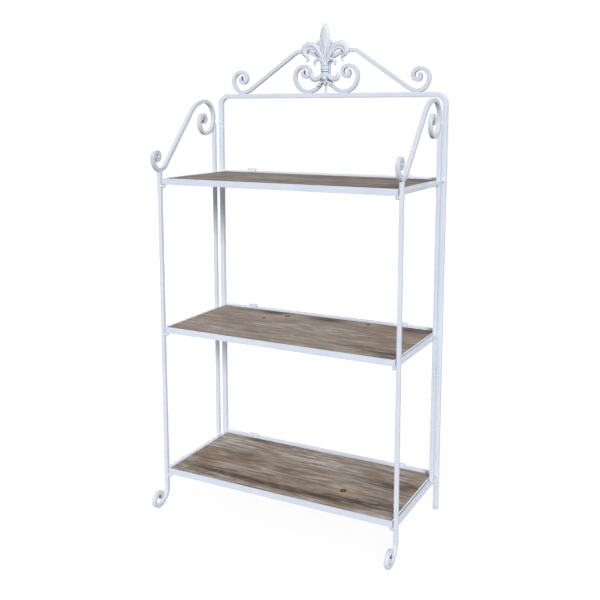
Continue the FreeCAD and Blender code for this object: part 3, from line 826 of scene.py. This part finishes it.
ROD_PROFILE = ((0, 3.9), (0.8, 3.2), (10, 2.9), (20, 3.2), (34, 2.7), (46, 2.3), (60, 2.4),
               (74, 2.4))


def make_crest():
    for side, mirror in SIDES.items():
        bm = square_bar(CREST_SCROLL, in_back_plane(HOOP_Y, HOOP_TOP, -mirror), CREST_FACE / 2)
        crisp(piece("crest_bar_" + side, bm, "back_frame", crest_paint,
                    ["crest_scroll_" + side]))
    bm = bmesh.new()
    turned(bm, ROD_PROFILE, Vector((0, HOOP_Y, HOOP_TOP)), UP, 20)
    piece("crest_stem_rod", bm, "back_frame", crest_paint, ["crest_stem"])


# The casting: petals with a rounded front, a flat back and a flute along the inner edge.
# Stations of a petal hold x, z and half its width.

MIDDLE_PETAL = ((0, 1088, 3.4), (0, 1095, 6), (0, 1104, 9), (0, 1113, 7), (0, 1140, 5.6),
                (0, 1156, 4.1), (0, 1176, 5.4), (0, 1186, 8.0), (0, 1194, 10.4), (0, 1201, 12.8),
                (0, 1208, 13.9), (0, 1218, 12.3), (0, 1228, 9), (0, 1235, 5.6), (0, 1238.6, 3.0))
SIDE_PETAL = ((3, 1134, 3.4), (7, 1150, 5.0), (15, 1166.5, 7.2), (28, 1181.5, 9.4),
              (42.5, 1186.5, 11), (53.5, 1182, 11.2), (58.3, 1172.5, 9.4), (56.5, 1165, 6.6),
              (51.5, 1159, 4.3), (47.5, 1154, 2.8), (48.5, 1149, 1.7), (52.5, 1146, 1.0))
INNER_CURL = ((3.5, 1160, 3.6), (6.8, 1178, 5.6), (11, 1189.5, 6.2), (16.8, 1195, 5.0),
              (21.5, 1191.5, 3.8), (20, 1186, 1.6))
LEAF_CURL = ((4, 1138, 2.9), (9, 1147, 3.9), (17, 1151.5, 4.3), (26, 1148, 4.1),
             (29.5, 1142, 3.0), (28, 1136, 1.2))
LOWER_LEAF = ((4, 1119, 3.4), (10, 1109.5, 5.2), (19, 1102.8, 6.4), (30, 1101.8, 7.0),
              (36.5, 1106.5, 6.2), (37.5, 1113, 4.0), (36, 1119, 1.3))
LOWER_CURL = ((2, 1098.3, 2.4), (9, 1093.8, 3.6), (15.7, 1089.3, 3.8), (15, 1084.8, 2.5),
              (11.6, 1085.4, 1.3))
THIN_RIB = ((2.6, 1138, 1.5), (3.2, 1152, 1.4), (5.2, 1168, 1.2), (9.0, 1184, 0.9))

# Petals on both sides of the middle
PAIRED_PETALS = (
    (SIDE_PETAL, dict(front=6.0, flute=0.75, flute_side=0.42, count=8)),
    (INNER_CURL, dict(front=3.8, flute=0.55, flute_side=0.45, lift=0.8)),
    (LEAF_CURL, dict(front=4.4, flute=0.5, flute_side=0.45, lift=-0.6)),
    (LOWER_LEAF, dict(front=5.0, flute=0.2, flute_side=-0.4, lift=-0.3)),
    (LOWER_CURL, dict(front=3.6, flute=0.3, flute_side=0.3)),
    (THIN_RIB, dict(front=2.6, flute=0, lift=-2.2)),
)

# Sections are fuller than an ellipse where a fullness is below 1
PETAL_SIDES = 26
PETAL_BACK = 3.4
LEAST_WIDTH = 0.5
FRONT_FULLNESS = 0.85
BACK_FULLNESS = 0.6
FLUTE_WIDTH = 0.16
FLUTE_LENGTH = 0.68
FLUTE_FULLNESS = 0.7
END_ROUNDING = (30, 58, 80)
END_REACH = 0.8

# The collar round the bundle of stems: heights and radii of a broad band between two thin ones
COLLAR = ((1119.8, 9.0), (1120.4, 11.0), (1121.6, 11.7), (1122.7, 11.1), (1123.3, 9.5),
          (1124.5, 9.5), (1125.1, 10.9), (1127.0, 11.3), (1131.3, 11.3), (1133.1, 10.9),
          (1133.7, 9.5), (1134.9, 9.5), (1135.5, 11.1), (1136.6, 11.7), (1137.8, 11.0),
          (1138.4, 9.0))
COLLAR_SIDES = 36
COLLAR_RADIUS = 11.7
COLLAR_FRONT = 8.0
COLLAR_BACK = 3.6
COLLAR_FULLNESS = 0.75
COLLAR_SIDE_FULLNESS = 0.8

# The boss: a dome in a shallow ring, as distances in front of the casting's plane and radii
BOSS = ((0.0, 7.6), (6.6, 7.6), (7.3, 7.1), (7.2, 6.4), (6.3, 6.0), (6.6, 5.7), (8.2, 5.2),
        (9.3, 3.8), (9.9, 2.0), (10.1, 0.5))


def smooth_stations(stations, count):
    """Points of a curve through the stations, with the widths between them."""
    points = [Vector(station) for station in stations]
    points = [points[0] * 2 - points[1]] + points + [points[-1] * 2 - points[-2]]
    found = []
    for index in range(1, len(points) - 2):
        before, one, two, after = points[index - 1:index + 3]
        for step in range(count):
            t = step / count
            found.append((one * 2 + (two - before) * t
                          + (before * 2 - one * 5 + two * 4 - after) * t ** 2
                          + (one * 3 - before - two * 3 + after) * t ** 3) / 2)
    found.append(points[-2])
    return found


def swell_of(width, front):
    """How far a petal of a width swells forward."""
    return min(front, 1.5 + width * 0.62)


def petal(bm, stations, mirror, front, flute, flute_side=0.0, count=6, lift=0.0):
    """One petal: front is its greatest swell, flute the depth of the groove at flute_side."""
    path = smooth_stations(stations, count)
    rings = []
    last = len(path) - 1
    for index, place in enumerate(path):
        ahead = path[min(index + 1, last)] - path[max(index - 1, 0)]
        heading = ahead.xy.normalized()
        across = Vector((heading.y, -heading.x))
        width = max(place.z, LEAST_WIDTH)
        share = index / last / FLUTE_LENGTH
        depth = 0
        if 0 < share < 1:
            depth = flute * math.sin(math.pi * share) ** FLUTE_FULLNESS
        rings.append(petal_ring(place, across, width, swell_of(width, front), mirror, lift,
                                depth, flute_side))
    root = petal_end(path[0], path[1], front, mirror, lift, -1)
    tip = petal_end(path[last], path[last - 1], front, mirror, lift, 1)
    loft(bm, root[::-1] + rings + tip)


def petal_end(end, inner, front, mirror, lift, way):
    """Rings that round off a petal's end; way is 1 at its tip and -1 at its root."""
    step = (end - inner).xy.normalized()
    across = Vector((step.y, -step.x)) * way
    rings = []
    for angle in END_ROUNDING:
        reach = step * end.z * math.sin(math.radians(angle)) * END_REACH
        shrink = math.cos(math.radians(angle))
        rings.append(petal_ring(end.xy + reach, across, end.z * shrink,
                                swell_of(end.z, front) * shrink, mirror, lift))
    return rings


def petal_ring(place, across, width, swell, mirror, lift, depth=0, flute_side=0):
    ring = []
    for sideways, out in around(PETAL_SIDES):
        if out > 0:
            deep = -swell * out ** FRONT_FULLNESS
            deep += depth * swell * math.exp(-((sideways - flute_side) / FLUTE_WIDTH) ** 2)
        else:
            deep = min(PETAL_BACK, swell) * (-out) ** BACK_FULLNESS
        x = place.x + across.x * width * sideways
        z = place.y + across.y * width * sideways
        ring.append(world(mirror * x, FLEUR_Y + lift + deep, z))
    return ring


def collar_ring(z, radius):
    """A ring that is flatter at the back than in front."""
    ring = []
    for sideways, out in around(COLLAR_SIDES):
        way = -COLLAR_FRONT if out > 0 else COLLAR_BACK
        x = radius * math.copysign(abs(sideways) ** COLLAR_SIDE_FULLNESS, sideways)
        deep = way * (radius / COLLAR_RADIUS) * abs(out) ** COLLAR_FULLNESS
        ring.append(world(x, FLEUR_Y + deep, z))
    return ring


def make_fleur():
    bm = bmesh.new()
    petal(bm, MIDDLE_PETAL, 1, front=6.2, flute=0, count=7, lift=0.4)
    for mirror in SIDES.values():
        for stations, facts in PAIRED_PETALS:
            petal(bm, stations, mirror, **facts)
    loft(bm, [collar_ring(z, radius) for z, radius in COLLAR])
    turned(bm, BOSS, Vector((0, FLEUR_Y, BOSS_Z)), FORWARD, 32)
    piece("fleur_cast", bm, "back_frame", crest_paint, ["fleur_casting"])


# Side frames

PEG_PROFILE = ((0, 4.9), (0.4, 4.75), (1.0, 4.25), (1.5, 4.2), (7.6, 4.2), (8.8, 3.9),
               (9.6, 3.1), (9.95, 1.9), (10.0, 0.6))


def make_side(side, mirror):
    x = mirror * SIDE_X
    body = side + "_side"
    half = SIDE_BAR / 2
    # Bars that end inside the scroll are a hair narrower, so that no two faces coincide
    inner_half = half - HAIR

    def keep(bm, name, node, paint=frame_paint):
        crisp(piece(side + name, bm, body, paint, [side + node]))

    bm = square_bar(SIDE_SCROLL, in_side_plane(x), half)
    # The scroll gets the darker copy of the white paint, as painted shade
    keep(bm, "_scroll_bar", "_scroll", scroll_shaded_paint)
    bm = square_bar(FRONT_UPRIGHT, in_side_plane(x), inner_half)
    keep(bm, "_front_bar", "_front_upright")
    low = LEVELS["bottom"] - RAIL_DROP - SIDE_BAR
    y = SIDE_DEPTH - half
    bm = straight_bar(Vector((x, y, low)), Vector((x, y, REAR_TOP)), inner_half)
    keep(bm, "_rear_bar", "_rear_upright")
    for level, top in LEVELS.items():
        z = top - RAIL_DROP - half
        bm = straight_bar(Vector((x, SIDE_BAR, z)), Vector((x, SIDE_DEPTH - SIDE_BAR, z)), half)
        keep(bm, "_side_bar_" + level, "_rail_" + level)

    # Pegs under the shelves' front corners, each with a small weld at its root
    bm = bmesh.new()
    for top in LEVELS.values():
        z = top - ANGLE_LEG - PEG_CLEARANCE - PEG_RADIUS
        turned(bm, PEG_PROFILE, Vector((x - mirror * half, half, z)), Vector((-mirror, 0, 0)))
    piece(side + "_peg_buttons", bm, body, frame_paint, [side + "_pegs"])

    # Welds above and below the rails' ends, under the volute, on the rear top, and above and
    # below the hinge eyes
    bm = bmesh.new()
    for top in LEVELS.values():
        z = top - RAIL_DROP
        for y in (SIDE_BAR + RAIL_OFF, SIDE_DEPTH - SIDE_BAR - RAIL_OFF):
            for height in (z + FACE_OFF, z - SIDE_BAR - FACE_OFF):
                weld_at(bm, x, y, height, RAIL_WELD)
    for y in (FACE_OFF, SIDE_BAR + FACE_OFF):
        weld_at(bm, x, y, VOLUTE_Z - half - END_OFF, VOLUTE_WELD)
    weld_at(bm, x, SIDE_DEPTH - IN_FRONT, REAR_TOP + END_OFF, REAR_TOP_WELD)
    for level in HINGE_LEVELS:
        eye_top = level - EYE_DROP
        for z in (eye_top + FACE_OFF, eye_top - EYE_HEIGHT - FACE_OFF):
            weld_at(bm, x, SIDE_DEPTH, z, EYE_WELD)
    piece(side + "_welds", bm, body, frame_paint)


# Shelves: mitred angle iron and a board with eased edges

CORNERS = ((-1, 0), (1, 0), (1, 1), (-1, 1))

# Rounding of the angle iron: its start, its middle, its middle at the lip beside the board and
# the fillet inside
SOFT = 0.5
SOFT_MIDDLE = 0.15
LIP_MIDDLE = 0.1
FILLET = 0.3

# The shallow groove at a mitre: distances from it and depths
MITRE_GROOVE = ((0.5, 0), (0.12, 0.02), (0, 0.2))

# The board's eased edges: how far they reach in and down, and the places of the steps between
EASE_REACH = 1.8
EASE_DROP = 1.3
EASE_STEPS = (0, 0.3, 0.9, EASE_REACH)
BOARD_COLUMNS = 60
BOARD_ROWS = 28
BOARD_SINK = 0.15
BOARD_WAVE = 0.18
WAVE_DENSITY = (0.004, 0.03, 0.01)


def angle_profile():
    """The angle iron's section: distances in from its outer face, and up from its top."""
    leg, wall = ANGLE_LEG, ANGLE_WALL
    low, ledge = -leg, wall - leg
    return [(0, low + SOFT), (0, -SOFT), (SOFT_MIDDLE, -SOFT_MIDDLE), (SOFT, 0),
            (wall - SOFT, 0), (wall - LIP_MIDDLE, -LIP_MIDDLE), (wall, -SOFT),
            (wall, ledge + FILLET), (wall + FILLET, ledge), (leg - SOFT, ledge),
            (leg - SOFT_MIDDLE, ledge - SOFT_MIDDLE), (leg, ledge - SOFT), (leg, low + SOFT),
            (leg - SOFT, low), (SOFT, low), (SOFT_MIDDLE, low + SOFT_MIDDLE)]


def make_shelf_frame(level, top):
    rings = []
    for index, corner in enumerate(CORNERS):
        here = Vector(corner)
        inward = Vector((-here.x, 1 - 2 * here.y))
        foot = Vector((here.x * SHELF_HALF_WIDTH, here.y * SHELF_DEPTH))
        before = (Vector(CORNERS[index - 1]) - here).normalized()
        after = (Vector(CORNERS[(index + 1) % 4]) - here).normalized()
        sections = [(before, gap, sink) for gap, sink in MITRE_GROOVE]
        sections += [(after, gap, sink) for gap, sink in MITRE_GROOVE[-2::-1]]
        for way, gap, sink in sections:
            ring = []
            for across, up in angle_profile():
                height = max(sink - ANGLE_LEG, min(up, -sink))
                inset = across + (sink if across < ANGLE_WALL else 0)
                there = foot + inward * inset + way * gap
                ring.append(world(there.x, there.y, top + height))
            rings.append(ring)
    bm = bmesh.new()
    loft(bm, rings, capped=False, closed=True)
    crisp(piece(level + "_angle_frame", bm, level + "_shelf", shelf_paint,
                [level + "_shelf_frame"]))


def spread(first, last, count):
    """Places along a board: close together at its eased edges and even between them."""
    inside = [first + (last - first) * step / count for step in range(1, count)]
    return ([first + ease for ease in EASE_STEPS] + inside
            + [last - ease for ease in reversed(EASE_STEPS)])


def make_board(level, top):
    margin = ANGLE_WALL + BOARD_GAP
    left, right = margin - SHELF_HALF_WIDTH, SHELF_HALF_WIDTH - margin
    front, back = margin, SHELF_DEPTH - margin
    bm = bmesh.new()
    grid = []
    for y in spread(front, back, BOARD_ROWS):
        row = []
        for x in spread(left, right, BOARD_COLUMNS):
            edge = min(x - left, right - x, y - front, back - y)
            eased = EASE_DROP * (1 - min(edge / EASE_REACH, 1)) ** 2
            wave = BOARD_WAVE * noise.noise(Vector((x, y, top)) * Vector(WAVE_DENSITY))
            row.append(bm.verts.new(world(x, y, top - BOARD_SINK - eased + wave)))
        grid.append(row)
    for one, two in zip(grid, grid[1:]):
        for index in range(len(one) - 1):
            bm.faces.new((one[index], one[index + 1], two[index + 1], two[index]))
    rim = (grid[0] + [row[-1] for row in grid[1:]] + grid[-1][-2::-1]
           + [row[0] for row in grid[-2:0:-1]])
    underside = world(0, 0, top - ANGLE_LEG + ANGLE_WALL).z
    foot = [bm.verts.new((vertex.co.x, vertex.co.y, underside)) for vertex in rim]
    bridge(bm, rim, foot)
    bm.faces.new(foot)
    crisp(piece(level + "_plank", bm, level + "_shelf", boards[level],
                [level + "_board"]))


# Small hinge pieces keep the construction's shapes, with eased edges

HINGE_EASE = 0.3
TOUCHING = 0.001
EASED_NODES = ("hinge_arm", "knuckles", "hinge_eyes")
PIN_HEAD = ((0, 3.1), (0.35, 3.15), (0.8, 2.9), (1.2, 2.2), (1.4, 1.2), (1.45, 0.4))


def ease_edges(node):
    weld = node.modifiers.new("Weld", "WELD")
    weld.merge_threshold = TOUCHING * MM
    bevel = node.modifiers.new("Bevel", "BEVEL")
    bevel.width = HINGE_EASE * MM
    bevel.segments = 2
    bevel.limit_method = "ANGLE"
    bevel.angle_limit = math.radians(40)
    bevel.harden_normals = True


def make_hinges():
    for name, node in frame["nodes"].items():
        node.data.materials.clear()
        node.data.materials.append(hinge_paint)
        if any(part in name for part in EASED_NODES):
            ease_edges(node)
    # The pins' heads are hammered over on the straps
    for side, mirror in SIDES.items():
        bm = bmesh.new()
        for level in HINGE_LEVELS:
            turned(bm, PIN_HEAD, Vector((mirror * SIDE_X, PIVOT_Y, level - STRAP_DROP)), UP, 24)
        piece(side + "_pin_heads", bm, "back_frame", hinge_paint)


def make_back_welds():
    bm = bmesh.new()
    # The back rails' ends on the legs
    for top in LEVELS.values():
        for mirror in SIDES.values():
            x = mirror * (LEG_X - LEG_TUBE / 2 - LEG_OFF)
            for z in (top + BACK_RAIL_RISE, top + BACK_RAIL_RISE - SIDE_BAR):
                weld_at(bm, x, BACK_RAIL_Y, z, RAIL_WELD, -FORWARD)
    # The crest's bars on the hoop: two short runs behind each and one in front
    behind = HOOP_Y + CREST_BAR / 2 - END_OFF
    for x in (-VOLUTE_X, -CURL_LOW_X, CURL_LOW_X, VOLUTE_X):
        for way in (-1, 1):
            weld_at(bm, x + way * CREST_SPREAD, behind, HOOP_TOP + RAIL_OFF, CREST_BACK_WELD,
                    way * ACROSS)
        weld_at(bm, x, HOOP_Y - IN_FRONT, HOOP_TOP + LEG_OFF, CREST_WELD)
    # The straps on the legs, above and below
    for mirror in SIDES.values():
        for level in HINGE_LEVELS:
            strap_top = level - STRAP_DROP
            for z in (strap_top, strap_top - STRAP_THICKNESS):
                weld_at(bm, mirror * SIDE_X, STRAP_WELD_Y, z, STRAP_WELD)
    piece("back_welds", bm, "back_frame", frame_paint)


make_hinges()
make_hoop()
make_back_rails()
make_crest()
make_fleur()
for side, mirror in SIDES.items():
    make_side(side, mirror)
for level, top in LEVELS.items():
    make_shelf_frame(level, top)
    make_board(level, top)
make_back_welds()


# Camera at the photograph's view

CAMERA_PLACE = (0.94935, -1.79755, 1.02146)
CAMERA_TILT = 81.506
CAMERA_TURN = 27.461


def make_camera():
    data = bpy.data.cameras.new("Camera")
    data.sensor_width = 36
    data.lens = 50.017
    data.shift_x = -0.0012
    data.shift_y = -0.1083
    data.clip_start = 0.05
    data.clip_end = 100
    camera = add_object("Camera", data)
    camera.location = CAMERA_PLACE
    camera.rotation_euler = (math.radians(CAMERA_TILT), 0, math.radians(CAMERA_TURN))
    bpy.context.scene.camera = camera
    bpy.context.scene.view_settings.view_transform = "Standard"


# Stage: a pale floor, a white backdrop and soft lamps

FLOOR_RADII = (50, 500, 1000, 1600, 2400, 4000, 8000)
FLOOR_SIDES = 64
FLOOR_GREY = 0.42
FLOOR_GLOW = 1.16
NEAR_GLOW = 0.81
FAR_FROM, FAR_TO = 0.5, 1.3


def seen(tree):
    """1 for rays from the camera and for reflected and refracted ones."""
    path = tree.nodes.new("ShaderNodeLightPath")
    whole = Field(tree, path.outputs["Is Camera Ray"])
    for kind in ("Is Glossy Ray", "Is Transmission Ray"):
        whole = whole + Field(tree, path.outputs[kind])
    return whole.clamped()


def make_backdrop(horizon, rise, least):
    """White where it is seen; its light on the object grows with the height."""
    world_data = bpy.data.worlds.new("World")
    bpy.context.scene.world = world_data
    world_data.use_nodes = True
    tree = world_data.node_tree
    background = tree.nodes["Background"]
    height = parts_of(tree, coordinates(tree, "Generated"))[2]
    sky = (height * rise + horizon).calc("MAXIMUM", least)
    shown = seen(tree)
    plug(tree, background.inputs["Strength"], shown + shown.opposite() * sky)
    background.inputs["Color"].default_value = (1, 1, 1, 1)


def make_floor():
    bm = bmesh.new()
    middle = Vector((0, CENTRE_Y, 0))
    rings = [circle(middle, UP, radius, FLOOR_SIDES) for radius in FLOOR_RADII]
    made = loft(bm, rings, capped=False)
    bm.faces.new(made[0])
    floor = add_mesh("floor", bm, floor_material())


def floor_material():
    """Matt grey that takes the shadow, and a glow for the eye that makes it white."""
    material, tree, shader = new_material("floor_white")
    shader.inputs["Base Color"].default_value = (FLOOR_GREY, FLOOR_GREY, FLOOR_GREY, 1)
    shader.inputs["Roughness"].default_value = 0.9
    shader.inputs["Specular IOR Level"].default_value = 0.0
    # Away from the object the floor turns into the backdrop's white
    x, y = parts_of(tree, coordinates(tree, "Object"))[:2]
    away = (x * x + y * y).calc("SQRT").ramp(FAR_FROM, FAR_TO)
    glow = tree.nodes.new("ShaderNodeEmission")
    glow.inputs["Strength"].default_value = FLOOR_GLOW
    join = tree.nodes.new("ShaderNodeMixShader")
    plug(tree, join.inputs[0], (away * (1 - NEAR_GLOW) + NEAR_GLOW) * seen(tree))
    plug(tree, join.inputs[1], shader.outputs[0])
    plug(tree, join.inputs[2], glow.outputs[0])
    plug(tree, tree.nodes["Material Output"].inputs["Surface"], join.outputs[0])
    return material


def make_sun(azimuth, elevation, softness, strength):
    """A soft lamp from far away; azimuth 0 is the front and 90 the object's right side."""
    data = bpy.data.lights.new("sun", "SUN")
    data.angle = math.radians(softness)
    data.energy = strength
    lamp = add_object("sun", data)
    lamp.rotation_euler = (math.radians(90 - elevation), 0, math.radians(azimuth))


make_camera()
make_backdrop(horizon=0.20, rise=0.40, least=0.05)
make_floor()
make_sun(azimuth=34, elevation=22, softness=20, strength=2.72)
make_sun(azimuth=230, elevation=12, softness=40, strength=1.6)
